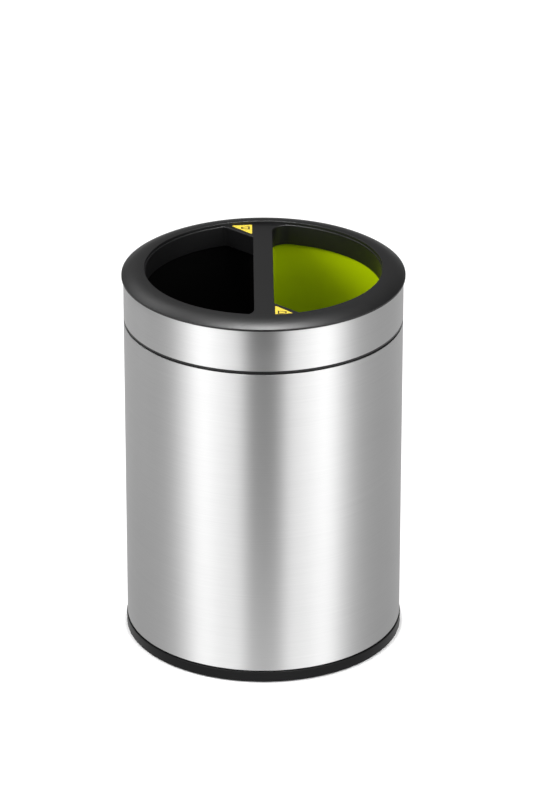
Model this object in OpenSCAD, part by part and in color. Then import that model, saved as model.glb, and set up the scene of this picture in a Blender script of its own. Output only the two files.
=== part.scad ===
// Double recycling bin: a round brushed steel body, a lift-off lid ring with two
// mouths side by side, and two D-shaped inner buckets that stand on the base.
// Z is up, the floor is z = 0, the divider bar runs along Y and -Y is the front.

/* [Body] */
// Outside diameter of the steel body
body_d = 290; // [240:1:360]
// Height of the steel body, without its base ring
shell_h = 338; // [240:0.1:480]
// Thickness of the steel sheet
shell_t = 0.6; // [0.4:0.1:1]
// Depth of the sheet folded back inside the top edge
hem_h = 12; // [6:0.5:20]
// Width of the inward flange at the bottom edge
flange_w = 6.1; // [5:0.1:9]

/* [Base] */
// Visible height of the black base ring
base_ring_h = 11.7; // [9:0.1:20]
// How far the base ring stands out past the steel
base_overhang = 0.9; // [0.2:0.1:2]
// Wall of the base ring
base_wall = 2.6; // [2:0.1:4]
// Thickness of the flange that carries the steel
seat_t = 2; // [1.5:0.1:3]
// Height of the dark groove between base ring and steel
seam_h = 0.8; // [0.4:0.1:2]
// Thickness of the base floor
floor_t = 2.5; // [2:0.1:4]
// Height of the hollow under the floor
recess_h = 3; // [2.5:0.1:3.5]
// Edge radius at the foot of the base ring
foot_round = 1; // [0.6:0.1:2.4]
// Edge radius at the top of the base ring
ring_round = 1.2; // [0.5:0.1:1.2]
// Number of ribs under the floor
base_ribs = 12; // [8:4:24]
// Thickness of the ribs under the floor
base_rib_t = 2; // [1.2:0.1:3]
// Radius of the ring at the middle of the ribs
hub_r = 31; // [20:1:50]
// Number of hooks that hold the steel flange
base_hooks = 8; // [4:1:12]
// Angle taken by one hook
base_hook_angle = 7; // [4:0.5:12]

/* [Feet] */
// Number of rubber feet
pads = 4; // [3:1:6]
// Diameter of a rubber foot
pad_d = 24; // [16:1:30]
// Thickness of a rubber foot
pad_t = 3; // [2:0.1:3.4]
// How far a rubber foot stands out of the base
pad_proud = 1; // [0.5:0.1:2]
// Room between the sockets of the feet and the wall under the steel
pad_inset = 4; // [1:0.5:30]
// Wall of the socket round a foot
pad_socket_wall = 2; // [1.5:0.1:3]

/* [Body collar] */
// Wall of the collar inside the top of the body
collar_t = 1.8; // [1.2:0.1:3]
// Width of the collar's flat top
collar_w = 4.5; // [4:0.1:8]
// Depth of the collar's inner wall
collar_inner_h = 10; // [6:0.5:20]
// How far the collar's top lies below the steel edge
collar_drop = 0.8; // [0.3:0.1:3]
// How far the collar's catch reaches under the fold
collar_catch = 0.5; // [0.3:0.1:0.5]
// Width of the two locating lugs
lug_w = 12; // [8:1:20]
// How far the locating lugs stand out
lug_out = 2; // [1:0.1:2.2]

/* [Lid ring] */
// Height of the steel band
band_h = 44.3; // [35:0.1:70]
// Open line between the body and the lid ring
lid_gap = 1.6; // [0.8:0.1:4]
// Thickness of the black lip under the band
lip_t = 2; // [1.5:0.1:4]
// Height of the rim above the band
rim_h = 9.5; // [7:0.1:14]
// Shadow line between the band and the rim
rim_gap = 0.5; // [0.2:0.1:1.2]
// How far the rim stands out past the band
rim_overhang = 1.9; // [0.6:0.1:4]
// Wall of the moulded rim
rim_wall = 2.5; // [1.8:0.1:3]
// Width of the crown, from the rim's outside to its flat top
crown_w = 21.8; // [16:0.1:26]
// Edge radius at the outside of the rim
rim_edge_r = 1; // [0.6:0.1:2.5]
// Height of the rim's side under that edge
rim_side_h = 1.2; // [0.5:0.1:2]
// Number of ribs under the crown
crown_ribs = 16; // [8:4:24]
// Thickness of the ribs under the rim
rim_rib_t = 1.6; // [1:0.1:2.4]
// Depth of the ribs under the crown
crown_rib_h = 8; // [4:0.5:12]
// Depth of the lid's locating skirt inside the body collar
skirt_h = 10; // [6:0.5:20]
// Wall of the lid's skirts
skirt_t = 1.8; // [1.2:0.1:2.2]
// Height of the retainer's upstand inside the band
upstand_h = 6; // [3:0.5:9]
// Number of snap tongues that join retainer and rim
tongues = 8; // [4:1:12]
// Angle taken by one snap tongue
tongue_angle = 6; // [3:0.5:10]
// Height of a snap tongue
tongue_h = 16; // [12:0.5:25]
// Height of the catch on a snap tongue
catch_h = 3; // [2:0.1:4]

/* [Mouths] */
// Width of the divider bar between the mouths
bar_w = 20.4; // [18:0.2:30]
// Width of the flat top between a mouth and the crown
flat_w = 2.3; // [2.3:0.1:12]
// How far the bar and the gussets lie below the rim's top
deck_drop = 3.1; // [1.6:0.1:4]
// Radius rolled over the top of the step down to them
step_round = 1.2; // [0.5:0.1:1.4]
// Depth of the walls round the mouths, from the rim's top
wall_drop = 25.6; // [20:0.1:32]
// How far the curved walls spread towards their lower edge
arc_spread = 0.5; // [0:0.1:4]
// How far the bar's sides draw in towards their lower edge
bar_spread = 1; // [0:0.1:1.5]
// How far a gusset's side draws in towards its lower edge
gusset_spread = 2.5; // [0:0.1:3]
// Wall round the mouths
mouth_wall = 2.2; // [1.5:0.1:2.2]
// Radius of the two plain corners of a mouth
mouth_corner_r = 16; // [5:0.5:18]
// How deep the gusset reaches into the corner of a mouth
gusset_depth = 25.9; // [22:0.1:36]
// Slant of the gusset's edge
gusset_angle = 43.5; // [35:0.5:50]
// Corner radius at the ends of the gusset's edge
gusset_corner_r = 5; // [3:0.5:8]
// Radius rolled over the edges of the bar and the gussets
mouth_round = 1; // [0.5:0.1:1.3]
// Number of cross ribs inside the divider bar
bar_ribs = 7; // [3:2:11]
// Room between those ribs and the buckets
bar_headroom = 2; // [1:0.5:5]

/* [Labels] */
// Length of a label along X
label_x = 22; // [14:0.5:24]
// Length of a label along Y
label_y = 25.7; // [14:0.1:28]
// How far a label's outer side turns in over its length
label_slant = 2.2; // [0:0.1:4]
// Thickness of a label
label_t = 0.3; // [0.2:0.05:0.5]
// Distance of a label from the edge of the bar
label_gap = 0.9; // [0.6:0.1:3]
// How far a label's outer side lies inside the radius of the mouths
label_inset = 2.8; // [2:0.1:6]
// Corner radius of a label
label_corner_r = 1; // [0.5:0.1:2]

/* [Buckets] */
// How far the buckets reach up outside the walls of the mouths
bucket_overlap = 3.5; // [1:0.5:10]
// Room between the walls of the mouths and the curved walls of the buckets
bucket_room = 1.6; // [0.8:0.1:2]
// Room between the divider bar's sides and the flat walls of the buckets
bar_room = 1.3; // [0.8:0.1:1.6]
// Wall of the buckets
bucket_t = 2; // [1.5:0.1:3]
// Thickness of the buckets' bottom
bucket_floor_t = 2.5; // [2:0.1:4]
// How far the curved wall draws in towards the bottom
bucket_arc_taper = 9; // [3:0.5:12]
// How far the flat wall draws in towards the bottom
bucket_flat_taper = 5; // [2:0.5:8]
// Inside radius of a bucket's upright corners
bucket_corner_r = 8; // [6:0.5:10]
// Width of the turned-out lip of a bucket
bucket_lip_w = 2.8; // [2:0.1:3]
// Depth of the turned-down edge of the lip
bucket_lip_h = 7; // [4:0.5:12]
// Thickness of the lip
bucket_lip_t = 1.4; // [1:0.1:1.6]
// Radius round the bottom of a bucket
bucket_foot_r = 5; // [3:0.5:8]

/* [Hidden] */

// Smoothness of round parts, and of the stretches of an outline
$fn = 180;
arc_steps = 60;
corner_steps = 5;
edge_steps = 4;
crown_steps = 8;

// Clearance between pieces that stay together, and between pieces that slide apart
fit_gap = 0.1;
slide_gap = 0.4;
// Clearance round a foot and round a label in its recess
pocket_gap = 0.3;
// Overrun of a cut, and overlap of shapes that are joined
over = 0.5;

steel = [0.78, 0.79, 0.8];
black = [0.13, 0.13, 0.13];
rubber = [0.2, 0.2, 0.21];
green = [0.5, 0.6, 0.02];
yellow = [0.98, 0.86, 0.25];

// Heights, from the floor up
base_z = pad_proud;
ring_top_z = base_z + base_ring_h;
shell_z = ring_top_z + seam_h;
shell_top_z = shell_z + shell_h;
hem_z = shell_top_z - hem_h;
floor_z = base_z + recess_h;
floor_top_z = floor_z + floor_t;
collar_top_z = shell_top_z - collar_drop;
lip_z = shell_top_z + lid_gap;
band_z = lip_z + lip_t;
band_top_z = band_z + band_h;
rim_under_z = band_top_z + rim_gap;
rim_top_z = band_top_z + rim_h;
plate_z = rim_top_z - rim_wall;
deck_z = rim_top_z - deck_drop;
deck_under_z = deck_z - rim_wall;
wall_z = rim_top_z - wall_drop;
bucket_top_z = wall_z + bucket_overlap;
bucket_h = bucket_top_z - floor_top_z;

// Radii, from the outside in
body_r = body_d / 2;
base_r = body_r + base_overhang;
rim_r = body_r + rim_overhang;
sheet_in_r = body_r - shell_t;
hem_in_r = sheet_in_r - shell_t;
flange_in_r = body_r - flange_w;
seat_r = sheet_in_r - fit_gap;
ring_in_r = base_r - base_wall;
hook_r = flange_in_r - fit_gap;
hook_in_r = hook_r - base_wall;
collar_r = hem_in_r - fit_gap;
collar_in_r = collar_r - collar_w;
lid_skirt_r = collar_in_r - slide_gap;
lid_skirt_in_r = lid_skirt_r - skirt_t;
rim_skirt_r = sheet_in_r - fit_gap;
rim_skirt_in_r = rim_skirt_r - skirt_t;
upstand_r = rim_skirt_in_r - fit_gap;
upstand_in_r = upstand_r - skirt_t;
foot_ring_r = collar_r - slide_gap;
pad_place_r = hook_in_r - pad_inset - pad_socket_wall - pad_d / 2;
crown_start_r = rim_r - crown_w;
mouth_r = crown_start_r - flat_w;
bucket_r = mouth_r + arc_spread + mouth_wall + bucket_room;
bucket_flat_x = bar_w / 2 - bar_spread - mouth_wall - bar_room;

// Direction square to a gusset's edge, and its distance from the axis
gusset_turn = 270 - gusset_angle;
gusset_out = [cos(gusset_turn), sin(gusset_turn)];
gusset_d = gusset_out * [bar_w / 2, -mouth_r] - gusset_depth;

// Crown: one arc from the flat top down to the edge round, which ends at the rim's side
edge_c = [rim_r - rim_edge_r, rim_under_z + rim_side_h];
crown_fall = rim_top_z - edge_c.y;
crown_run = edge_c.x - crown_start_r;
crown_r = (pow(crown_run, 2) + pow(crown_fall, 2) - pow(rim_edge_r, 2)) / (2 * (crown_fall - rim_edge_r));
crown_c = [crown_start_r, rim_top_z - crown_r];
crown_end = acos(crown_run / (crown_r - rim_edge_r));

// Points of an arc about a centre, both ends included
function arc(c, r, from, to, steps) =
    [for (i = [0:steps]) let (a = from + (to - from) * i / steps) c + r * [cos(a), sin(a)]];

// Value part of the way from one size to another
function mix(from, to, share) = from + (to - from) * share;

// Centre of the corner between a straight side at x = flat_x and the big arc
function plain_corner(flat_x, arc_r, r) =
    [flat_x + r, sqrt(pow(arc_r - r, 2) - pow(flat_x + r, 2))];

// Outline of a bucket: a half disc with two round corners, on the +X side
function bucket_outline(flat_x, arc_r, r) =
    let (c = plain_corner(flat_x, arc_r, r), a = atan2(c.y, c.x))
    concat(arc([c.x, -c.y], r, 180, 360 - a, corner_steps),
           [for (i = [1:arc_steps - 1]) let (b = mix(-a, a, i / arc_steps)) arc_r * [cos(b), sin(b)]],
           arc(c, r, a, 180, corner_steps));

// Outline of a mouth: the same, with its front corner cut off by the gusset's edge
function mouth_outline(flat_x, arc_r, r, cut_d, cut_r) =
    let (c = plain_corner(flat_x, arc_r, r), a = atan2(c.y, c.x),
         turn = gusset_turn,
         out = gusset_out,
         inner = [flat_x + cut_r, (cut_d - cut_r - out.x * (flat_x + cut_r)) / out.y],
         reach = sqrt(pow(arc_r - cut_r, 2) - pow(cut_d - cut_r, 2)),
         outer = (cut_d - cut_r) * out + reach * [-out.y, out.x],
         b = atan2(outer.y, outer.x))
    concat(arc(inner, cut_r, 180, turn, corner_steps),
           arc(outer, cut_r, turn, 360 + b, corner_steps),
           [for (i = [1:arc_steps - 1]) let (d = mix(b, a, i / arc_steps)) arc_r * [cos(d), sin(d)]],
           arc(c, r, a, 180, corner_steps));

// Mouth outline at a share of its wall's depth, grown outwards by a distance
function mouth_at(depth_share, grow) =
    mouth_outline(bar_w / 2 - bar_spread * depth_share - grow,
                  mouth_r + arc_spread * depth_share + grow,
                  mouth_corner_r + grow,
                  gusset_d + gusset_spread * depth_share + grow,
                  gusset_corner_r + grow);

// The same at its top edge, where the straight sides and corners roll over and the arc does not
function mouth_rolled(grow) =
    mouth_outline(bar_w / 2 - grow, mouth_r, mouth_corner_r + grow, gusset_d + grow,
                  gusset_corner_r + grow);

// Direction from one point to another
function unit(v) = v / norm(v);

// Outline with its corners rounded, grown outwards by a distance
function rounded(corners, r, grow) =
    let (n = len(corners))
    [for (i = [0:n - 1])
        let (back = unit(corners[(i + n - 1) % n] - corners[i]),
             ahead = unit(corners[(i + 1) % n] - corners[i]),
             from = atan2(-back.y, -back.x) - 90,
             turn = atan2(ahead.y, ahead.x) - 90,
             c = corners[i] + r * (back + ahead) / sin(acos(back * ahead)))
        each arc(c, r + grow, from, turn < from ? turn + 360 : turn, edge_steps)];

// Inside outline of a bucket at a height over its underside, grown outwards by a distance
function bucket_at(height, grow) =
    let (share = height / bucket_h)
    bucket_outline(bucket_flat_x + bucket_flat_taper * (1 - share) - grow,
                   bucket_r - bucket_arc_taper * (1 - share) + grow,
                   bucket_corner_r + grow);

// Closed skin through outlines that lie one after another: each is [height, outline]
module loft(sections) {
    n = len(sections[0][1]);
    last = len(sections) - 1;
    polyhedron(
        points = [for (s = sections) for (p = s[1]) [p.x, p.y, s[0]]],
        faces = concat(
            [[for (i = [0:n - 1]) i]],
            [for (k = [0:last - 1]) for (i = [0:n - 1])
                [k * n + i, (k + 1) * n + i, (k + 1) * n + (i + 1) % n]],
            [for (k = [0:last - 1]) for (i = [0:n - 1])
                [k * n + i, (k + 1) * n + (i + 1) % n, k * n + (i + 1) % n]],
            [[for (i = [n - 1:-1:0]) last * n + i]]));
}

// Ring or disc made by turning a section of [radius, height] points
module turned(section) {
    rotate_extrude() polygon(section);
}

// Equal copies of a section, each turned through a small angle round the axis
module turned_pieces(count, angle, section) {
    for (i = [0:count - 1])
        rotate([0, 0, (i + 1 / 2) * 360 / count - angle / 2])
            rotate_extrude(angle = angle) polygon(section);
}

// Upright rib that runs out from the axis
module radial_rib(from, to, low, high, t) {
    translate([from, -t / 2, low]) cube([to - from, t, high - low]);
}

// Brushed steel sheet rolled into a tube, folded at the top and flanged at the bottom
module body_shell() {
    color(steel) turned(concat(
        [[flange_in_r, shell_z], [body_r, shell_z]],
        arc([sheet_in_r, shell_top_z - shell_t], shell_t, 0, 180, edge_steps),
        [[hem_in_r, hem_z], [sheet_in_r, hem_z],
         [sheet_in_r, shell_z + shell_t], [flange_in_r, shell_z + shell_t]]));
}

// Section of the base: floor, seat under the steel and the ring that shows
function base_section() = concat(
    [[0, floor_z], [hook_r, floor_z], [hook_r, shell_z - seat_t],
     [ring_in_r, shell_z - seat_t], [ring_in_r, base_z]],
    arc([base_r - foot_round, base_z + foot_round], foot_round, 270, 360, edge_steps),
    arc([base_r - ring_round, ring_top_z - ring_round], ring_round, 0, 90, edge_steps),
    [[seat_r, ring_top_z], [seat_r, shell_z], [hook_in_r, shell_z],
     [hook_in_r, floor_top_z], [0, floor_top_z]]);

// Hook that passes the steel flange and closes over it
function hook_section() =
    let (in_r = hook_in_r + fit_gap, out_r = hook_r - fit_gap,
         catch_z = shell_z + shell_t + fit_gap, catch_r = hook_r + base_wall / 2)
    [[in_r, shell_z - over], [out_r, shell_z - over], [out_r, catch_z], [catch_r, catch_z],
     [catch_r, catch_z + base_wall / 3], [out_r, catch_z + base_wall], [in_r, catch_z + base_wall]];

// Places of the feet, between the ribs
module at_pads() {
    for (i = [0:pads - 1]) rotate([0, 0, (i + 1 / 2) * 360 / pads]) translate([pad_place_r, 0, 0]) children();
}

// Black moulded base: floor, ribs, sockets for the feet and hooks for the steel
module base_pan() {
    socket_r = pad_d / 2 + pocket_gap;
    rib_z = base_z + pad_proud / 2;
    color(black) difference() {
        union() {
            turned(base_section());
            turned_pieces(base_hooks, base_hook_angle, hook_section());
            for (i = [0:base_ribs - 1]) rotate([0, 0, i * 360 / base_ribs])
                radial_rib(hub_r - base_rib_t / 2, ring_in_r + over, rib_z, floor_z + over, base_rib_t);
            turned([[hub_r - base_rib_t, rib_z], [hub_r, rib_z],
                    [hub_r, floor_z + over], [hub_r - base_rib_t, floor_z + over]]);
            at_pads() translate([0, 0, base_z])
                cylinder(r = socket_r + pad_socket_wall, h = recess_h + over);
        }
        at_pads() translate([0, 0, base_z - over]) cylinder(r = socket_r, h = pad_t - base_z + over);
    }
}

// Rubber feet pressed into the base
module foot_pads() {
    color(rubber) at_pads() cylinder(d = pad_d, h = pad_t);
}

// Places of the lug slots and lugs, at the two sides of the bin
module at_lugs() {
    for (side = [0, 180]) rotate([0, 0, side]) children();
}

// Black collar clipped under the fold of the steel, which carries the lid ring
module body_collar() {
    inner_z = collar_top_z - collar_inner_h;
    catch_z = hem_z - fit_gap;
    foot_z = catch_z - 2 * collar_t;
    color(black) difference() {
        turned([[collar_in_r, collar_top_z], [collar_in_r, inner_z],
                [collar_in_r + collar_t, inner_z], [collar_in_r + collar_t, collar_top_z - collar_t],
                [collar_r - collar_t, collar_top_z - collar_t], [collar_r - collar_t, foot_z],
                [collar_r, foot_z], [collar_r, catch_z - 2 * collar_catch],
                [collar_r + collar_catch, catch_z - collar_catch],
                [collar_r + collar_catch, catch_z], [collar_r, catch_z], [collar_r, collar_top_z]]);
        at_lugs() translate([collar_in_r - over, -lug_w / 2 - slide_gap, inner_z - over])
            cube([lug_out + slide_gap + over, lug_w + 2 * slide_gap, collar_inner_h + 2 * over]);
    }
}

// Section of the rim: plate in the middle, step up to the crown, outer edge and inner skirt
function rim_section() =
    let (inside_r = crown_r - rim_wall,
         skirt_turn = acos((rim_skirt_in_r - crown_start_r) / inside_r),
         skirt_z = band_z + shell_t + over)
    concat(
        [[0, deck_under_z], [mouth_r + mouth_wall, deck_under_z], [mouth_r + mouth_wall, plate_z]],
        arc(crown_c, inside_r, 90, skirt_turn, crown_steps),
        [[rim_skirt_in_r, skirt_z], [rim_skirt_r, skirt_z], [rim_skirt_r, rim_under_z],
         [rim_r - shell_t, rim_under_z]],
        arc(edge_c, rim_edge_r, 0, crown_end, edge_steps),
        arc(crown_c, crown_r, crown_end, 90, crown_steps),
        [[0, rim_top_z]]);

// Hollow of one mouth, with its edge rolled over at the top
module mouth() {
    low_z = wall_z - over;
    round_z = deck_z - mouth_round;
    loft(concat(
        [[low_z, mouth_at(1, 0)], [wall_z, mouth_at(1, 0)]],
        [for (i = [0:edge_steps]) let (a = 90 * i / edge_steps)
            [round_z + mouth_round * sin(a), mouth_rolled(mouth_round * (1 - cos(a)))]],
        [[rim_top_z + over, mouth_rolled(mouth_round)]]));
}

// Round hollow over the bar and the gussets, with a step up to the crown
function deck_section() =
    let (step_r = mouth_r + fit_gap)
    concat(
        [[0, rim_top_z + over], [0, deck_z], [step_r, deck_z]],
        arc([step_r + step_round, rim_top_z - step_round], step_round, 180, 90, edge_steps),
        [[step_r + step_round, rim_top_z + over]]);

// Wall round one mouth
module mouth_wall_outside() {
    loft([[wall_z, mouth_at(1, mouth_wall)], [plate_z + over, mouth_at(0, mouth_wall)]]);
}

// Both sides of the bin: the second is the first turned half round
module both_sides() {
    for (side = [0, 180]) rotate([0, 0, side]) children();
}

// Outline of a label: a triangle with round corners on a gusset
function label_outline(grow) =
    let (low = [bar_w / 2 + label_gap, label_inset - mouth_r])
    rounded([low, low + [label_x, label_slant], low + [0, label_y]], label_corner_r, grow);

module label() {
    translate([0, 0, deck_z - label_t]) linear_extrude(label_t) polygon(label_outline(0));
}

// Space under the crown that its ribs fill, up into the wall of the crown
module under_crown(low) {
    middle_r = crown_r - rim_wall / 2;
    turned(concat(
        [[0, low], [rim_skirt_in_r + over, low]],
        arc(crown_c, middle_r, acos((rim_skirt_in_r + over - crown_start_r) / middle_r), 90, crown_steps),
        [[0, rim_top_z - rim_wall / 2]]));
}

// One black moulding: crown, divider bar, gussets and the drafted walls of both mouths
module rim_frame() {
    bar_rib_low = bucket_top_z + bar_headroom;
    bar_rib_w = bar_w - 2 * bar_spread;
    bar_rib_reach = mouth_r - bar_w;
    crown_rib_low = rim_under_z - crown_rib_h;
    color(black) difference() {
        union() {
            turned(rim_section());
            both_sides() mouth_wall_outside();
            for (i = [0:bar_ribs - 1])
                translate([-bar_rib_w / 2,
                           mix(-bar_rib_reach, bar_rib_reach, i / (bar_ribs - 1)) - rim_rib_t / 2, bar_rib_low])
                    cube([bar_rib_w, rim_rib_t, deck_under_z + over - bar_rib_low]);
            intersection() {
                under_crown(crown_rib_low);
                for (i = [0:crown_ribs - 1]) rotate([0, 0, (i + 1 / 2) * 360 / crown_ribs])
                    radial_rib(mouth_r + mouth_wall / 2, rim_r, crown_rib_low - over, rim_top_z, rim_rib_t);
            }
        }
        both_sides() mouth();
        turned(deck_section());
        both_sides() translate([0, 0, deck_z - label_t])
            linear_extrude(label_t + over) polygon(label_outline(pocket_gap));
        turned_pieces(tongues, tongue_angle + 1,
            [[rim_skirt_in_r - over, band_z + tongue_h - catch_h - fit_gap],
             [rim_skirt_r + over, band_z + tongue_h - catch_h - fit_gap],
             [rim_skirt_r + over, band_z + tongue_h + slide_gap],
             [rim_skirt_in_r - over, band_z + tongue_h + slide_gap]]);
    }
}

// Brushed steel band round the lid ring, turned in at its lower edge
module steel_band() {
    turn_in = 2 * shell_t;
    color(steel) turned([[body_r, band_z], [body_r, band_top_z], [sheet_in_r, band_top_z],
                         [sheet_in_r, band_z + shell_t], [sheet_in_r - turn_in, band_z + shell_t],
                         [sheet_in_r - turn_in, band_z]]);
}

// Black ring under the band: lip, foot on the body collar, locating skirt, lugs and tongues
module band_retainer() {
    skirt_z = collar_top_z - skirt_h;
    root_z = band_z + upstand_h - over;
    catch_z = band_z + tongue_h - catch_h;
    in_r = upstand_in_r + fit_gap;
    out_r = upstand_r - fit_gap;
    lip_edge = lip_t / 4;
    color(black) union() {
        turned([[lid_skirt_in_r, skirt_z], [lid_skirt_r, skirt_z], [lid_skirt_r, collar_top_z],
                [foot_ring_r, collar_top_z], [foot_ring_r, lip_z], [body_r - lip_edge, lip_z],
                [body_r, lip_z + lip_edge], [body_r, band_z], [upstand_r, band_z],
                [upstand_r, band_z + upstand_h], [upstand_in_r, band_z + upstand_h],
                [upstand_in_r, band_z], [lid_skirt_in_r, band_z]]);
        turned_pieces(tongues, tongue_angle,
            [[in_r, root_z], [out_r, root_z], [out_r, catch_z],
             [rim_skirt_r - fit_gap, catch_z], [rim_skirt_r - fit_gap, catch_z + catch_h / 3],
             [out_r, catch_z + catch_h], [in_r, catch_z + catch_h]]);
        at_lugs() translate([lid_skirt_r - over, -lug_w / 2, skirt_z + collar_t])
            cube([lug_out + over, lug_w, skirt_h - collar_t + over]);
    }
}

// Yellow labels in the recesses of the two gussets
module label_green_side() {
    color(yellow) label();
}

module label_black_side() {
    color(yellow) rotate([0, 0, 180]) label();
}

// Drafted half-round bucket: one skin from the foot, up and over the lip, down to the floor inside
module bucket() {
    top = bucket_h;
    under = top - bucket_lip_t;
    edge = top - bucket_lip_h;
    lip = bucket_t + bucket_lip_w;
    foot = bucket_foot_r;
    inner_foot = foot - bucket_t;
    crest = bucket_lip_t / 2;
    translate([0, 0, floor_top_z]) loft(concat(
        [for (i = [0:edge_steps]) let (a = 90 * i / edge_steps)
            [foot * (1 - cos(a)), bucket_at(0, bucket_t - foot * (1 - sin(a)))]],
        [[under, bucket_at(under, bucket_t)],
         [under, bucket_at(under, lip - bucket_lip_t)],
         [edge, bucket_at(under, lip - bucket_lip_t)],
         [edge, bucket_at(under, lip)],
         [top - crest, bucket_at(under, lip)],
         [top, bucket_at(under, lip - crest)],
         [top, bucket_at(under, crest)],
         [top - crest, bucket_at(under, 0)]],
        [for (i = [edge_steps:-1:0]) let (a = 90 * i / edge_steps)
            [bucket_floor_t + inner_foot * (1 - cos(a)), bucket_at(0, -inner_foot * (1 - sin(a)))]]));
}

module bucket_green() {
    color(green) bucket();
}

module bucket_black() {
    color(black) rotate([0, 0, 180]) bucket();
}

body_shell();
base_pan();
foot_pads();
body_collar();
rim_frame();
steel_band();
band_retainer();
label_black_side();
label_green_side();
bucket_black();
bucket_green();
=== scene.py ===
import math
import mathutils
import bpy
import bmesh
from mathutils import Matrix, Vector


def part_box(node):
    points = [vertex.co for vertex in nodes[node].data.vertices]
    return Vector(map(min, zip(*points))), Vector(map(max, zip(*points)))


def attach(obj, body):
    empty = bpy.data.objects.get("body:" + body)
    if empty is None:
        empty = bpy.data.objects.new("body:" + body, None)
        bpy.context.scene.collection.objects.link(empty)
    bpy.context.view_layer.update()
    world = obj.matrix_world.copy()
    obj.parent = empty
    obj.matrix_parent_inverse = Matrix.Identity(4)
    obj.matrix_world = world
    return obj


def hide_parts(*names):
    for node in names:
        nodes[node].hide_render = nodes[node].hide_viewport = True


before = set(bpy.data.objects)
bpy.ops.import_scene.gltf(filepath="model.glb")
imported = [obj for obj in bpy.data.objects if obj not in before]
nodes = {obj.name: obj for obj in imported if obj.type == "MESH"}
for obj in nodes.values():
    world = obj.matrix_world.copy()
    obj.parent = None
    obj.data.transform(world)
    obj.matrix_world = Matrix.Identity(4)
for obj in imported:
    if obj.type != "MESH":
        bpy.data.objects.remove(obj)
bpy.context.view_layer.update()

# Body shell
# Stainless steel sheet rolled into a tube and butt-welded at the back, ground round and round to an
# even brushing, with its top edge folded inwards and its foot flanged in over the base.

MM = 0.001
shell_low, shell_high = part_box("body_shell")
body_r = shell_high.x / MM
shell_foot_z = shell_low.z / MM
shell_top_z = shell_high.z / MM
sheet_t = 0.6
fold_depth = 12.0
foot_flange = 6.1
foot_bend = 0.9
facets_round = 288
smooth_below = math.radians(32)
weld_reach = 0.00001
sliver_length = 0.000005


def arc(centre_r, centre_z, radius, start, end, steps):
    """Points of an arc in a section, as (radius, height) pairs, both ends included."""
    angles = [math.radians(start + (end - start) * i / steps) for i in range(steps + 1)]
    return [(centre_r + radius * math.cos(a), centre_z + radius * math.sin(a)) for a in angles]


def surface(name, strips, fills=()):
    """One mesh from strips, each of which joins ring after ring of as many points, and from flat
    fills, each with an outer loop and the loops of its holes, all in millimetres."""
    mesh = bmesh.new()
    for rings, round_and_round in strips:
        rows = [[mesh.verts.new([c * MM for c in point]) for point in ring] for ring in rings]
        count = len(rows[0])
        for low, high in zip(rows, rows[1:]):
            for i in range(count if round_and_round else count - 1):
                j = (i + 1) % count
                mesh.faces.new((low[i], low[j], high[j], high[i]))
    for loops in fills:
        edges = []
        for loop in loops:
            corners = [mesh.verts.new([c * MM for c in point]) for point in loop]
            edges += [mesh.edges.new((corners[i - 1], corners[i])) for i in range(len(corners))]
        bmesh.ops.triangle_fill(mesh, use_beauty=True, edges=edges, normal=(0, 0, 1))
    bmesh.ops.remove_doubles(mesh, verts=mesh.verts, dist=weld_reach)
    bmesh.ops.dissolve_degenerate(mesh, edges=mesh.edges, dist=sliver_length)
    bmesh.ops.recalc_face_normals(mesh, faces=mesh.faces)
    data = bpy.data.meshes.new(name)
    mesh.to_mesh(data)
    mesh.free()
    data.shade_smooth()
    data.set_sharp_from_angle(angle=smooth_below)
    piece = bpy.data.objects.new(name, data)
    bpy.context.scene.collection.objects.link(piece)
    even = piece.modifiers.new("even_shading", "WEIGHTED_NORMAL")
    even.keep_sharp = True
    return piece


def turned(name, section):
    """A piece turned about the bin's axis from a closed section of (radius, height) points."""
    angles = [2 * math.pi * i / facets_round for i in range(facets_round)]
    rings = [[(r * math.cos(a), r * math.sin(a), z) for a in angles] for r, z in section]
    return surface(name, [(rings + rings[:1], True)])


class Tap:
    """An output of a node; sums written with taps add the Math nodes that work them out."""

    def __init__(self, recipe, socket):
        self.recipe = recipe
        self.socket = socket

    def maths(self, operation, *values):
        """A Math node on these values."""
        settings = {"operation": operation}
        return self.recipe.node("ShaderNodeMath", settings, dict(enumerate(values)))

    def __add__(self, other):
        return self.maths("ADD", self, other)

    def __radd__(self, other):
        return self.maths("ADD", other, self)

    def __sub__(self, other):
        return self.maths("SUBTRACT", self, other)

    def __rsub__(self, other):
        return self.maths("SUBTRACT", other, self)

    def __mul__(self, other):
        return self.maths("MULTIPLY", self, other)

    def __rmul__(self, other):
        return self.maths("MULTIPLY", other, self)

    def __truediv__(self, other):
        return self.maths("DIVIDE", self, other)

    def __neg__(self):
        return self.maths("MULTIPLY", self, -1)

    def __abs__(self):
        return self.maths("ABSOLUTE", self)


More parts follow.
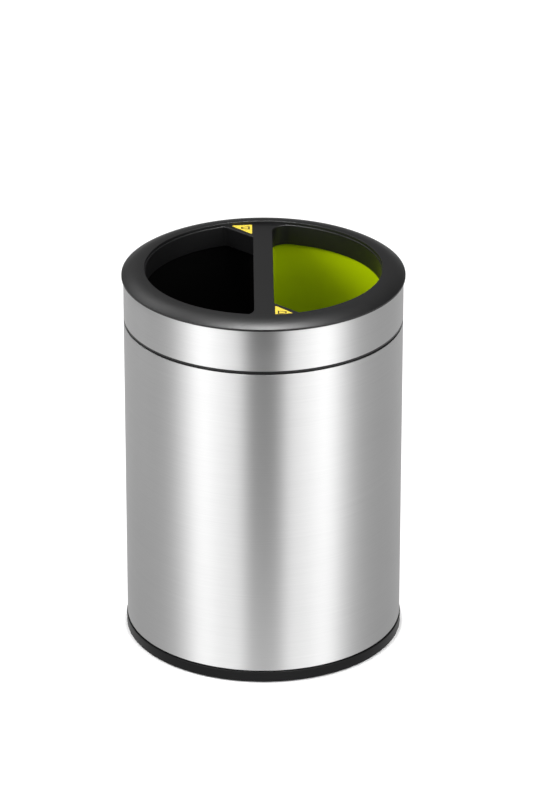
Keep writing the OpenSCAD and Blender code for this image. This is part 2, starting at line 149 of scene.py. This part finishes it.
class Recipe:
    """The nodes of one finish, built up from what it is made of."""

    def __init__(self, owner):
        owner.use_nodes = True
        self.tree = owner.node_tree
        self.tree.nodes.clear()

    def node(self, kind, settings, sockets, out=0):
        """A node with its settings, and then the values or links of its sockets."""
        made = self.tree.nodes.new(kind)
        for setting, value in settings.items():
            setattr(made, setting, value)
        for place, value in sockets.items():
            if isinstance(value, Tap):
                self.tree.links.new(value.socket, made.inputs[place])
            else:
                made.inputs[place].default_value = value
        return Tap(self, made.outputs[out]) if made.outputs else None

    def parts(self, vector):
        """The X, Y and Z of a vector."""
        split = self.node("ShaderNodeSeparateXYZ", {}, {0: vector})
        outputs = split.socket.node.outputs
        return [Tap(self, outputs[axis]) for axis in ("X", "Y", "Z")]

    def stretched_noise(self, place, scale, detail):
        """Noise in grains of one over the scale, in metres, along each axis."""
        drawn = self.node("ShaderNodeVectorMath", {"operation": "MULTIPLY"}, {0: place, 1: scale})
        return self.node("ShaderNodeTexNoise", {}, {
            "Vector": drawn, "Scale": 1.0, "Detail": detail, "Roughness": 0.55})

    def shade_between(self, share, first, second):
        """A Mix node set to colours, which are its inputs 6 and 7 and its output 2."""
        sockets = {0: share, 6: first, 7: second}
        return self.node("ShaderNodeMix", {"data_type": "RGBA"}, sockets, out=2)

    def smooth_step(self, value, start, end, low, high):
        """The value eased from low to high as it goes from start to end."""
        return self.node("ShaderNodeMapRange", {"interpolation_type": "SMOOTHSTEP"}, {
            "Value": value, "From Min": start, "From Max": end, "To Min": low, "To Max": high})

    def ramp(self, share, stops):
        """Greys in between stops, each a share and its grey."""
        made = self.node("ShaderNodeValToRGB", {}, {0: share})
        steps = made.socket.node.color_ramp
        while len(steps.elements) < len(stops):
            steps.elements.new(0.5)
        for element, (at, grey) in zip(steps.elements, stops):
            element.position = at
            element.color = (grey, grey, grey, 1)
        return made

    def finish(self, surface_tap, kind="ShaderNodeOutputMaterial"):
        """The output node with the closing shader joined to it."""
        self.node(kind, {}, {"Surface": surface_tap})


def plain_surface(recipe, sockets):
    """The closing shader of a finish."""
    recipe.finish(recipe.node("ShaderNodeBsdfPrincipled", {}, sockets))


steel_lines = (14, 14, 900)
steel_scratches = (26, 26, 5200)
steel_clouds = (7, 7, 22)
steel_dark = (0.575, 0.575, 0.577, 1)
steel_pale = (0.705, 0.705, 0.703, 1)
steel_roughness = 0.37
scratch_depth = 0.00003


def brushed_steel():
    """Long fine scratches round the bin, which spread what it reflects up and down into bands."""
    finish = bpy.data.materials.new("brushed_steel")
    recipe = Recipe(finish)
    place = recipe.node("ShaderNodeTexCoord", {}, {}, out="Object")
    lines = recipe.stretched_noise(place, steel_lines, detail=4.0)
    scratches = recipe.stretched_noise(place, steel_scratches, detail=2.0)
    clouds = recipe.stretched_noise(place, steel_clouds, detail=2.0)
    brushing = 0.6 * lines + 0.4 * scratches
    tone = recipe.shade_between(brushing, steel_dark, steel_pale)
    relief = recipe.node("ShaderNodeBump", {}, {
        "Height": brushing, "Strength": 0.12, "Distance": scratch_depth})
    plain_surface(recipe, {
        "Base Color": tone,
        "Metallic": 1.0,
        "Roughness": steel_roughness + 0.04 * brushing + 0.02 * clouds,
        "Anisotropic": 1.0,
        "Anisotropic Rotation": 0.25,
        "Normal": relief})
    return finish


steel = brushed_steel()
fold_r = body_r - sheet_t
shell_section = (
    [(body_r - foot_flange, shell_foot_z)]
    + arc(body_r - foot_bend, shell_foot_z + foot_bend, foot_bend, -90, 0, steps=5)
    + arc(fold_r, shell_top_z - sheet_t, sheet_t, 0, 180, steps=8)
    + [(fold_r - sheet_t, shell_top_z - fold_depth), (fold_r, shell_top_z - fold_depth),
       (fold_r, shell_foot_z + sheet_t), (body_r - foot_flange, shell_foot_z + sheet_t)])
shell = turned("steel_body", shell_section)
shell.data.materials.append(steel)
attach(shell, "bin_body")
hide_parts("body_shell")

# Base
# One moulding of black polypropylene: the ring that shows under the steel, the floor and its ribs.
# It is hooked over the steel's foot flange from below.

moulded_tone = (0.004, 0.004, 0.0042)
base_tone = (0.003, 0.003, 0.0032)
mould_grain = (1500, 1500, 1500)
mould_flow = (14, 14, 14)
grain_depth = 0.00002


def satin_black(name, tone, roughness, shine):
    """Moulded black plastic with the fine grain of a sparked tool."""
    finish = bpy.data.materials.new(name)
    recipe = Recipe(finish)
    place = recipe.node("ShaderNodeTexCoord", {}, {}, out="Object")
    grain = recipe.stretched_noise(place, mould_grain, detail=2.0)
    flow = recipe.stretched_noise(place, mould_flow, detail=2.0)
    darker = tuple(0.85 * c for c in tone)
    relief = recipe.node("ShaderNodeBump", {}, {
        "Height": grain, "Strength": 0.25, "Distance": grain_depth})
    plain_surface(recipe, {
        "Base Color": recipe.shade_between(flow, (*darker, 1), (*tone, 1)),
        "Roughness": roughness - 0.04 + 0.08 * flow,
        "IOR": 1.49,
        "Specular IOR Level": shine,
        "Normal": relief})
    return finish


moulded_black = satin_black("moulded_black", moulded_tone, roughness=0.4, shine=0.45)
base_black = satin_black("base_black", base_tone, roughness=0.38, shine=0.15)
nodes["base_pan"].material_slots[0].material = base_black

# Feet
# Four discs of rubber pressed into sockets under the base, one millimetre proud of it.

rubber_dark = (0.02, 0.02, 0.02, 1)
rubber_dusty = (0.045, 0.044, 0.042, 1)
rubber_dust = (90, 90, 90)


def foot_rubber():
    """Dull dark rubber, a little dusty."""
    finish = bpy.data.materials.new("foot_rubber")
    recipe = Recipe(finish)
    place = recipe.node("ShaderNodeTexCoord", {}, {}, out="Object")
    dust = recipe.stretched_noise(place, rubber_dust, detail=5.0)
    plain_surface(recipe, {
        "Base Color": recipe.shade_between(dust, rubber_dark, rubber_dusty),
        "Roughness": 0.7 + 0.2 * dust,
        "IOR": 1.5})
    return finish


nodes["foot_pads"].material_slots[0].material = foot_rubber()

# Body collar
# Black moulded ring clipped under the steel's fold. The lid ring stands on its flat top, and its
# two slots take the lid ring's lugs.

nodes["body_collar"].material_slots[0].material = moulded_black

# Buckets
# Two half-round pails of polypropylene, one black and one lime green, moulded with a draft and a
# turned-down lip. They stand back to back on the base floor.

bucket_low, bucket_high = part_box("bucket_green")
bucket_foot_z = bucket_low.z / MM
bucket_rim_z = bucket_high.z / MM
bucket_wall = 2.0
bucket_floor = 2.5
bucket_lip_out = 4.8
bucket_lip_t = 1.4
bucket_lip_h = 7.0
bucket_mouth_r = bucket_high.x / MM - bucket_lip_out
bucket_flat_x = bucket_low.x / MM + bucket_lip_out
bucket_arc_taper = 9.0
bucket_flat_taper = 5.0
bucket_corner_r = 8.0
bucket_foot_r = 5.0
bucket_arc_steps = 108
bucket_round_steps = 6
corner_steps = 10
flat_steps = 12
lime_deep = (0.325, 0.43, 0.0, 1)
lime_pale = (0.355, 0.465, 0.0, 1)
lime_flow = (9, 9, 5)
lime_grain = (1200, 1200, 1200)
bucket_tone = (0.0012, 0.0012, 0.0012)


def round_corner(centre, radius, start, end):
    """Points of a corner seen from above, first end left out."""
    x, y = centre
    turns = [start + (end - start) * i / corner_steps for i in range(1, corner_steps + 1)]
    angles = [math.radians(turn) for turn in turns]
    return [(x + radius * math.cos(a), y + radius * math.sin(a)) for a in angles]


def round_side(radius, start, end, steps):
    """Points of an arc about the bin's axis seen from above, first end left out."""
    angles = [math.radians(start + (end - start) * i / steps) for i in range(1, steps + 1)]
    return [(radius * math.cos(a), radius * math.sin(a)) for a in angles]


def plain_corner_centre(flat_x, arc_r, radius):
    """Centre of the corner between the flat side and the round side."""
    return flat_x + radius, math.sqrt((arc_r - radius) ** 2 - (flat_x + radius) ** 2)


def half_round(height, grow):
    """Outline of the green bucket's inside at a height over its foot, grown outwards."""
    share = 1 - height / (bucket_rim_z - bucket_foot_z)
    flat_x = bucket_flat_x + bucket_flat_taper * share - grow
    arc_r = bucket_mouth_r - bucket_arc_taper * share + grow
    radius = bucket_corner_r + grow
    cx, cy = plain_corner_centre(flat_x, arc_r, radius)
    meet = math.degrees(math.atan2(cy, cx))
    return ([(flat_x, cy - 2 * cy * i / flat_steps) for i in range(flat_steps + 1)]
            + round_corner((cx, -cy), radius, 180, 360 - meet)
            + round_side(arc_r, -meet, meet, bucket_arc_steps)
            + round_corner((cx, cy), radius, meet, 180)[:-1])


def bucket_rings():
    """The bucket's skin: up the outside from the foot, over the lip and down the inside to the
    floor. A ring is listed as its height, the height whose outline it takes, and its growth."""
    top = bucket_rim_z - bucket_foot_z
    under = top - bucket_lip_t
    edge = top - bucket_lip_h
    inner_foot = bucket_foot_r - bucket_wall
    crest = bucket_lip_t / 2
    lip_in = bucket_lip_out - bucket_lip_t
    steps = [math.radians(90 * i / bucket_round_steps) for i in range(bucket_round_steps + 1)]
    rings = [(bucket_foot_r * (1 - math.cos(a)), 0, bucket_wall - bucket_foot_r * (1 - math.sin(a)))
             for a in steps]
    rings += [(under, under, bucket_wall), (under, under, lip_in),
              (edge, under, lip_in), (edge, under, bucket_lip_out)]
    rings += [(top - crest + crest * math.sin(a), under, bucket_lip_out - crest * (1 - math.cos(a)))
              for a in steps]
    rings += [(top - crest + crest * math.cos(a), under, crest * (1 - math.sin(a))) for a in steps]
    rings += [(bucket_floor + inner_foot * (1 - math.cos(a)), 0, -inner_foot * (1 - math.sin(a)))
              for a in reversed(steps)]
    return [level(half_round(at, grow), bucket_foot_z + z) for z, at, grow in rings]


def level(outline, z):
    """An outline seen from above, laid at a height."""
    return [(x, y, z) for x, y in outline]


def half_turn(rings):
    """The same rings on the other side of the divider bar."""
    return [[(-x, -y, z) for x, y, z in ring] for ring in rings]


def bucket(name, skin, finish):
    """A bucket of these rings, closed under its foot and over its floor."""
    pail = surface(name, [(skin, True)], [[skin[0]], [skin[-1]]])
    pail.data.materials.append(finish)
    return pail


def lime_green():
    """Lime polypropylene, satin inside, a touch paler where it is rubbed."""
    finish = bpy.data.materials.new("lime_green")
    recipe = Recipe(finish)
    place = recipe.node("ShaderNodeTexCoord", {}, {}, out="Object")
    flow = recipe.stretched_noise(place, lime_flow, detail=3.0)
    grain = recipe.stretched_noise(place, lime_grain, detail=2.0)
    relief = recipe.node("ShaderNodeBump", {}, {
        "Height": grain, "Strength": 0.2, "Distance": grain_depth})
    plain_surface(recipe, {
        "Base Color": recipe.shade_between(flow, lime_deep, lime_pale),
        "Roughness": 0.36 + 0.06 * flow,
        "IOR": 1.49,
        "Specular IOR Level": 0.25,
        "Normal": relief})
    return finish


green_skin = bucket_rings()
green_bucket = bucket("green_inner_bucket", green_skin, lime_green())
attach(green_bucket, "green_bucket")
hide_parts("bucket_green")

bucket_black = satin_black("bucket_black", bucket_tone, roughness=0.5, shine=0.1)
black_bucket = bucket("black_inner_bucket", half_turn(green_skin), bucket_black)
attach(black_bucket, "black_bucket")
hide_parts("bucket_black")

# Band retainer
# Black moulded ring under the steel band: the thin lip that shows below the band, the foot that
# stands on the body collar, and the snap tongues that hold it to the rim.

nodes["band_retainer"].material_slots[0].material = moulded_black

# Steel band
# A second strip of the brushed steel, welded into a ring and turned in at its lower edge, held
# between the retainer's lip and the rim.

band_low, band_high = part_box("steel_band")
band_foot_z = band_low.z / MM
band_top_z = band_high.z / MM
band_turn_in = 1.8
band_section = (
    [(body_r - band_turn_in, band_foot_z)]
    + arc(body_r - sheet_t, band_foot_z + sheet_t, sheet_t, -90, 0, steps=4)
    + [(body_r, band_top_z), (body_r - sheet_t, band_top_z),
       (body_r - sheet_t, band_foot_z + sheet_t), (body_r - band_turn_in, band_foot_z + sheet_t)])
band = turned("steel_band_ring", band_section)
band.data.materials.append(steel)
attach(band, "lid_ring")
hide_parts("steel_band")

# Rim
# One black moulding: the crown that overhangs the band, a step down to the divider bar and its two
# gussets, and the drafted walls round both mouths, with ribs underneath.

rim_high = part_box("rim_frame")[1]
rim_r = rim_high.x / MM
rim_top_z = rim_high.z / MM
over_band = 0.5
rim_under_z = band_top_z + over_band
under_bevel = 0.3
rim_wall = 2.5
rim_edge_r = 0.7
rim_side_h = 1.7
mouth_r = 122.8
step_out = 0.3
ledge = 0.6
flat_w = 2.3
deck_drop = 3.1
step_round = 0.6
bar_w = 20.4
wall_drop = 25.6
arc_spread = 0.5
bar_spread = 1.0
gusset_spread = 2.5
mouth_wall = 2.2
mouth_corner_r = 16.0
gusset_depth = 25.9
gusset_slant = math.radians(43.5)
gusset_corner_r = 5.0
mouth_round = 0.9
wall_foot_r = 0.5
wall_foot_bevel = 0.15
skirt_gap = 0.1
skirt_r = body_r - sheet_t - skirt_gap
skirt_t = 1.8
skirt_lift = 1.1
skirt_foot_z = band_foot_z + skirt_lift
rib_t = 1.6
rib_bite = 0.5
rib_clearance = 2
crown_ribs = 16
crown_rib_h = 8.0
crown_rib_inset = 3.5
crown_rib_steps = 6
skirt_inset = 1
bar_ribs = 7
label_corners = ((11.1, -120.0), (33.1, -117.8), (11.1, -94.3))
label_corner_r = 1.0
recess_depth = 0.35
recess_room = 0.3

crown_start_r = mouth_r + flat_w
step_r = mouth_r + step_out
lip_r = mouth_r - ledge
plate_z = rim_top_z - rim_wall
deck_z = rim_top_z - deck_drop
deck_under_z = deck_z - rim_wall
wall_foot_z = rim_top_z - wall_drop
gusset_turn = math.radians(270) - gusset_slant
gusset_out = (math.cos(gusset_turn), math.sin(gusset_turn))
gusset_d = gusset_out[0] * bar_w / 2 - gusset_out[1] * mouth_r - gusset_depth
edge_r = rim_r - rim_edge_r
edge_z = rim_under_z + rim_side_h
crown_fall = rim_top_z - edge_z
crown_run = edge_r - crown_start_r
crown_reach = crown_run ** 2 + crown_fall ** 2 - rim_edge_r ** 2
crown_r = crown_reach / (2 * (crown_fall - rim_edge_r))
crown_z = rim_top_z - crown_r
crown_end = math.degrees(math.acos(crown_run / (crown_r - rim_edge_r)))
crown_inside_r = crown_r - rim_wall
wall_steps = 6
mouth_round_steps = 8
mouth_arc_steps = 120
end_steps = 24


def mouth(depth_share, grow=0.0):
    """Outline of the green side's mouth at a share of its walls' depth, grown outwards all round.
    Its arc comes last but for the plain corner."""
    flat_x = bar_w / 2 - bar_spread * depth_share - grow
    arc_r = lip_r + arc_spread * depth_share + grow
    corner = mouth_corner_r + grow
    cut = gusset_corner_r + grow
    cut_d = gusset_d + gusset_spread * depth_share + grow
    cx, cy = plain_corner_centre(flat_x, arc_r, corner)
    meet = math.degrees(math.atan2(cy, cx))
    out_x, out_y = gusset_out
    inner = (flat_x + cut, (cut_d - cut - out_x * (flat_x + cut)) / out_y)
    reach = math.sqrt((arc_r - cut) ** 2 - (cut_d - cut) ** 2)
    outer = ((cut_d - cut) * out_x - reach * out_y, (cut_d - cut) * out_y + reach * out_x)
    leave = math.degrees(math.atan2(outer[1], outer[0]))
    turn = math.degrees(gusset_turn)
    return ([(flat_x, cy + (inner[1] - cy) * i / flat_steps) for i in range(flat_steps + 1)]
            + round_corner(inner, cut, 180, turn)
            + [(outer[0] + cut * out_x, outer[1] + cut * out_y)]
            + round_corner(outer, cut, turn, 360 + leave)
            + round_side(arc_r, leave, meet, mouth_arc_steps)
            + round_corner((cx, cy), corner, meet, 180)[:-1])


arc_first = flat_steps + 1 + 2 * corner_steps
arc_last = arc_first + mouth_arc_steps


def around(outline):
    """Angles all round the axis that take in those of an outline's arc and of its half turn."""
    seen = [math.atan2(y, x) for x, y in outline[arc_first:arc_last + 1]]
    bar_end = seen[0] + math.pi - seen[-1]
    seen += [seen[-1] + bar_end * i / end_steps for i in range(1, end_steps)]
    return seen + [a + math.pi for a in seen]


def ring(radius, z, angles):
    """Points at these angles on a circle about the bin's axis."""
    return [(radius * math.cos(a), radius * math.sin(a), z) for a in angles]


def bar_and_gussets(outline, z):
    """Loop round the bar, its ends on the circle and its gussets, between two mouths."""
    angles = around(outline)
    radius = math.hypot(*outline[arc_first])
    side = level(outline[arc_last:] + outline[:arc_first + 1], z)
    end_angles = angles[mouth_arc_steps + 1:mouth_arc_steps + end_steps]
    bar_end = ring(radius, z, end_angles[::-1])
    other_end = half_turn([bar_end])[0]
    return side + other_end + half_turn([side])[0] + bar_end


def label_outline(grow):
    """Triangle of a label with its corners rounded, on the green side's gusset."""
    points = []
    for i, (x, y) in enumerate(label_corners):
        back, ahead = label_corners[i - 1], label_corners[(i + 1) % 3]
        to_back = math.atan2(back[1] - y, back[0] - x)
        to_ahead = math.atan2(ahead[1] - y, ahead[0] - x)
        opening = (to_back - to_ahead) % (2 * math.pi)
        reach = label_corner_r / math.sin(opening / 2)
        middle = to_ahead + opening / 2
        centre = (x + reach * math.cos(middle), y + reach * math.sin(middle))
        start = math.degrees(to_back) + 90
        end = start + 180 - math.degrees(opening)
        points += round_corner(centre, label_corner_r + grow, start, end)
    return points


def crown_section():
    """From the foot of the step over the crown and its edge, under it, down the skirt and back
    inside."""
    skirt_in_r = skirt_r - skirt_t
    inner_end = math.degrees(math.acos((skirt_in_r - crown_start_r) / crown_inside_r))
    return ([(lip_r + mouth_round, deck_z), (step_r, deck_z)]
            + arc(step_r + step_round, rim_top_z - step_round, step_round, 180, 90, steps=8)
            + arc(crown_start_r, crown_z, crown_r, 90, crown_end, steps=20)
            + arc(edge_r, edge_z, rim_edge_r, crown_end, 0, steps=6)
            + [(rim_r, rim_under_z + under_bevel), (rim_r - under_bevel, rim_under_z),
               (skirt_r, rim_under_z), (skirt_r, skirt_foot_z), (skirt_in_r, skirt_foot_z)]
            + arc(crown_start_r, crown_z, crown_inside_r, inner_end, 90, steps=12))


def mouth_rings():
    """The green side's walls: rolled edge, drafted inside, rounded foot and outside up to the
    crown."""
    round_z = deck_z - mouth_round
    steps = [math.radians(90 * i / mouth_round_steps) for i in range(mouth_round_steps + 1)]
    rings = [level(mouth(0, mouth_round * (1 - math.sin(a))), round_z + mouth_round * math.cos(a))
             for a in steps]
    for i in range(1, wall_steps + 1):
        share = i / wall_steps
        rings.append(level(mouth(share), round_z + (wall_foot_z + wall_foot_r - round_z) * share))
    rings += [level(mouth(1, wall_foot_bevel), wall_foot_z + wall_foot_bevel),
              level(mouth(1, wall_foot_r), wall_foot_z),
              level(mouth(1, mouth_wall - wall_foot_r), wall_foot_z),
              level(mouth(1, mouth_wall), wall_foot_z + wall_foot_r)]
    rings.append([(x, y, plate_z if arc_first <= i <= arc_last else deck_under_z)
                  for i, (x, y) in enumerate(mouth(0, mouth_wall))])
    return rings


def capped(rings):
    """The rings of a bar with both its ends drawn together to close it."""
    middles = [[sum(axis) / len(end) for axis in zip(*end)] for end in (rings[0], rings[-1])]
    return [[middles[0]] * len(rings[0])] + rings + [[middles[1]] * len(rings[0])]


def rib(stations, low, turn):
    """A rib outwards at a turn about the axis, through stations that are each a distance from the
    axis and a top height."""
    c, s = math.cos(turn), math.sin(turn)
    half = rib_t / 2
    rings = []
    for along, high in stations:
        corners = [(-half, low), (half, low), (half, high), (-half, high)]
        rings.append([(along * c - y * s, along * s + y * c, z) for y, z in corners])
    return capped(rings), True


def across_the_bar(y, reach, low, high):
    """A rib across the divider bar, reaching as far to either side of its middle."""
    front, back = y - rib_t / 2, y + rib_t / 2
    corners = [(front, low), (back, low), (back, high), (front, high)]
    return capped([[(x, *corner) for corner in corners] for x in (-reach, reach)]), True


brink = mouth(0, mouth_round)
root = mouth(0, mouth_wall)
under_r = lip_r + mouth_wall
under_angles = around(root)
crown = [ring(r, z, around(brink)) for r, z in crown_section()]
crown.append(ring(under_r, plate_z, under_angles))
walls = mouth_rings()
bar_angles = under_angles[mouth_arc_steps:mouth_arc_steps + end_steps + 1]
step_under = [ring(under_r, z, bar_angles) for z in (plate_z, deck_under_z)]
step_ends = [[[(*root[end], plate_z)] * 2, level([root[end], root[beside]], deck_under_z)]
             for end, beside in ((arc_first, arc_first - 1), (arc_last, arc_last + 1))]
recess = [level(label_outline(recess_room), z) for z in (deck_z, deck_z - recess_depth)]
strips = [(crown, True)]
for strip in (step_under, *step_ends):
    strips += [(strip, False), (half_turn(strip), False)]
strips += [(rings, True) for rings in (walls, half_turn(walls), recess, half_turn(recess))]
fills = [[bar_and_gussets(brink, deck_z), recess[0], half_turn(recess)[0]],
         [recess[1]], [half_turn(recess)[1]],
         [bar_and_gussets(root, deck_under_z)]]
for i in range(bar_ribs):
    rib_y = (mouth_r - bar_w) * (2 * i / (bar_ribs - 1) - 1)
    strips.append(across_the_bar(rib_y, bar_w / 2 - bar_spread - rib_bite,
                                 bucket_rim_z + rib_clearance, deck_under_z + rib_bite))
rib_length = skirt_r - skirt_inset - mouth_r - crown_rib_inset
crown_stations = []
for i in range(crown_rib_steps + 1):
    r = mouth_r + crown_rib_inset + rib_length * i / crown_rib_steps
    rise = math.sqrt(crown_inside_r ** 2 - max(0, r - crown_start_r) ** 2)
    crown_stations.append((r, rib_bite + crown_z + rise))
for i in range(crown_ribs):
    turn = 2 * math.pi * (i + 0.5) / crown_ribs
    strips.append(rib(crown_stations, rim_under_z - crown_rib_h, turn))
rim = surface("lid_rim", strips, fills)
rim.data.materials.append(moulded_black)
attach(rim, "lid_ring")
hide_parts("rim_frame")

# Labels
# Two yellow printed film triangles in shallow recesses of the gussets, each with the plain outline
# of a pail in dark brown.

mark_near = 13.6
mark_far = 22.6
mark_middle = 111.2
mark_half = 4.3
mark_taper = 0.22
mark_line = 1.5
mark_blur = 0.12
film_deep = (0.78, 0.6, 0.05, 1)
film_pale = (0.82, 0.63, 0.07, 1)
mark_brown = (0.04, 0.018, 0.002, 1)
film_grain = (400, 400, 400)


def label_film():
    """Yellow film with the outline of a pail, wide end to the bar, printed in dark brown."""
    finish = bpy.data.materials.new("yellow_label")
    recipe = Recipe(finish)
    place = recipe.node("ShaderNodeTexCoord", {}, {}, out="Object")
    print_noise = recipe.stretched_noise(place, film_grain, detail=2.0)
    x, y = recipe.parts(place)[:2]
    along = abs(x) / MM
    aside_by = abs(abs(y) / MM - mark_middle) - (mark_half - mark_taper * (along - mark_near))
    ends = abs(along - (mark_near + mark_far) / 2) - (mark_far - mark_near) / 2
    edge = aside_by.maths("MAXIMUM", aside_by, ends)
    half_line = mark_line / 2
    print_share = recipe.node("ShaderNodeMapRange", {}, {
        "Value": abs(edge + half_line), "From Min": half_line - mark_blur,
        "From Max": half_line + mark_blur, "To Min": 1, "To Max": 0})
    film = recipe.shade_between(print_noise, film_deep, film_pale)
    plain_surface(recipe, {
        "Base Color": recipe.shade_between(print_share, film, mark_brown),
        "Roughness": 0.4 + 0.08 * print_noise,
        "IOR": 1.48})
    return finish


yellow_film = label_film()
for name in ("label_black_side", "label_green_side"):
    nodes[name].material_slots[0].material = yellow_film

# Studio
# A pale floor among soft screens: bright ones left and right of the camera with a dark gap between,
# dark ones at the sides and behind. In glossy rays the floor glows with painted light and shade by
# direction. Two softboxes show in gloss, three windows light what is matt.

floor_r = 40
floor_facets = 96
floor_mesh = bmesh.new()
bmesh.ops.create_circle(floor_mesh, cap_ends=True, segments=floor_facets, radius=floor_r)
floor_data = bpy.data.meshes.new("studio_floor")
floor_mesh.to_mesh(floor_data)
floor_mesh.free()
floor = bpy.data.objects.new("studio_floor", floor_data)
bpy.context.scene.collection.objects.link(floor)
# Painted light and shade on the floor, seen only in glossy rays: greys by direction, dark in front
# of the camera far out, pale to either side, and pale in front near the bin.
far_painted_floor_levels = (
    (0, 0.2), (8, 0.2), (20, 0.6), (32, 0.95), (50, 0.95), (66, 0.85), (80, 0.65), (180, 0.65))
near_painted_floor_levels = ((0, 0.95), (12, 0.95), (25, 0.8), (40, 0.65), (60, 0.6), (180, 0.6))
near_reach, far_reach = 0.28, 0.65
contact_reach, open_reach = 0.1462, 0.151
open_share = 0.85
floor_glow = 1.25
floor_tone = (0.93, 0.93, 0.93, 1)
white = (1, 1, 1, 1)


def by_direction(recipe, x, y, levels):
    """Greys by the direction seen from above, in degrees either way from the camera's side."""
    turn = recipe.node("ShaderNodeMath", {"operation": "ARCTAN2"}, {0: abs(x), 1: -y})
    return recipe.ramp(turn / math.pi, [(at / 180, level) for at, level in levels])


floor_finish = bpy.data.materials.new("floor_white")
floor_recipe = Recipe(floor_finish)
ray = floor_recipe.node("ShaderNodeLightPath", {}, {}, out="Is Camera Ray")
glossy = Tap(floor_recipe, ray.socket.node.outputs["Is Glossy Ray"])
floor_place = floor_recipe.node("ShaderNodeTexCoord", {}, {}, out="Object")
floor_x, floor_y = floor_recipe.parts(floor_place)[:2]
floor_reach = floor_recipe.node(
    "ShaderNodeVectorMath", {"operation": "LENGTH"}, {0: floor_place}, out="Value")
far_painted_floor = by_direction(floor_recipe, floor_x, floor_y, far_painted_floor_levels)
near_painted_floor = by_direction(floor_recipe, floor_x, floor_y, near_painted_floor_levels)
outwards = floor_recipe.smooth_step(floor_reach, near_reach, far_reach, 0, 1)
# Camera rays see the floor evenly white. Glossy rays see the painted greys glowing.
painted_floor_greys = floor_recipe.shade_between(outwards, near_painted_floor, far_painted_floor)
white_or_painted_floor = floor_recipe.shade_between(ray, painted_floor_greys, white)
open_floor = floor_recipe.smooth_step(floor_reach, contact_reach, open_reach, 0, open_share)
lit = floor_recipe.node("ShaderNodeBsdfDiffuse", {}, {"Color": floor_tone})
bright = floor_recipe.node("ShaderNodeEmission", {}, {"Color": white_or_painted_floor, "Strength": floor_glow})
floor_recipe.finish(floor_recipe.node(
    "ShaderNodeMixShader", {}, {0: open_floor * ray + glossy, 1: lit, 2: bright}))
floor.data.materials.append(floor_finish)

brightest = 6.01
screens = (
    (4, 0.0), (10, 0.1), (15, 1.4), (21, 3.7), (27, 3.9), (33.5, 4.07), (40.5, 4.8),
    (48, brightest), (56, 5.9), (65, 3.5), (76, 1.4), (89, 0.6), (104, 0.2), (123, 0.05),
    (157, 0.3))
screen_level = 0.68
roof_level = 0.25
roof_start, roof_full = 0.66, 0.84
world = bpy.data.worlds.new("studio_light")
bpy.context.scene.world = world
sky = Recipe(world)
way_x, way_y, way_z = sky.parts(sky.node("ShaderNodeTexCoord", {}, {}, out="Generated"))
glow = by_direction(sky, way_x, way_y, [(at, level / brightest) for at, level in screens])
overhead = sky.smooth_step(way_z, roof_start, roof_full, 0, 1)
sky_strength = brightest * screen_level
roof = roof_level / sky_strength
sky_shade = sky.shade_between(overhead, glow, (roof, roof, roof, 1))
sky.finish(sky.node("ShaderNodeBackground", {}, {"Color": sky_shade, "Strength": sky_strength}),
           "ShaderNodeOutputWorld")

lamps = (
    ("overhead_softbox", (0.0, -0.14, 1.6), (0.6, 0.26), 23, True),
    ("rear_softbox", (-0.98, 1.0, 1.7), (0.8, 0.8), 6, True),
    ("left_window", (-1.6, -0.1, 1.3), (1.0, 1.0), 26, False),
    ("right_window", (1.6, -0.5, 1.4), (1.0, 1.0), 14, False),
    ("high_window", (0.2, -0.5, 2.0), (1.0, 1.0), 9, False))
for lamp_name, lamp_place, lamp_size, watts, in_gloss in lamps:
    lamp_light = bpy.data.lights.new(lamp_name, "AREA")
    lamp_light.shape = "RECTANGLE"
    lamp_light.size, lamp_light.size_y = lamp_size
    lamp_light.energy = watts
    lamp = bpy.data.objects.new(lamp_name, lamp_light)
    lamp.location = lamp_place
    towards = mathutils.Vector(lamp_place) - mathutils.Vector((0, 0, rim_top_z * MM))
    lamp.rotation_euler = towards.to_track_quat("Z", "Y").to_euler()
    lamp.visible_glossy = in_gloss
    lamp.visible_diffuse = not in_gloss
    bpy.context.scene.collection.objects.link(lamp)

# Camera
# A long lens from in front, looking down on the bin, with the bin a little left of the middle.

picture_h_px = 800
focal_px = 4466.2
sensor_h = 36
camera_distance = 4.6742
camera_elevation = math.radians(24.74)
look_at_z = 0.25706
aside = 0.00318
camera_turn = math.radians(0.5)
lens = bpy.data.cameras.new("camera")
lens.sensor_fit = "VERTICAL"
lens.sensor_height = sensor_h
lens.lens = focal_px * sensor_h / picture_h_px
lens.clip_end = 200
camera = bpy.data.objects.new("camera", lens)
camera_back = camera_distance * math.cos(camera_elevation)
camera.location = (aside * math.cos(camera_turn) - camera_back * math.sin(camera_turn),
                   -aside * math.sin(camera_turn) - camera_back * math.cos(camera_turn),
                   look_at_z + camera_distance * math.sin(camera_elevation))
camera.rotation_euler = (math.pi / 2 - camera_elevation, 0, -camera_turn)
bpy.context.scene.collection.objects.link(camera)
bpy.context.scene.camera = camera

bpy.context.scene.view_settings.view_transform = "Standard"
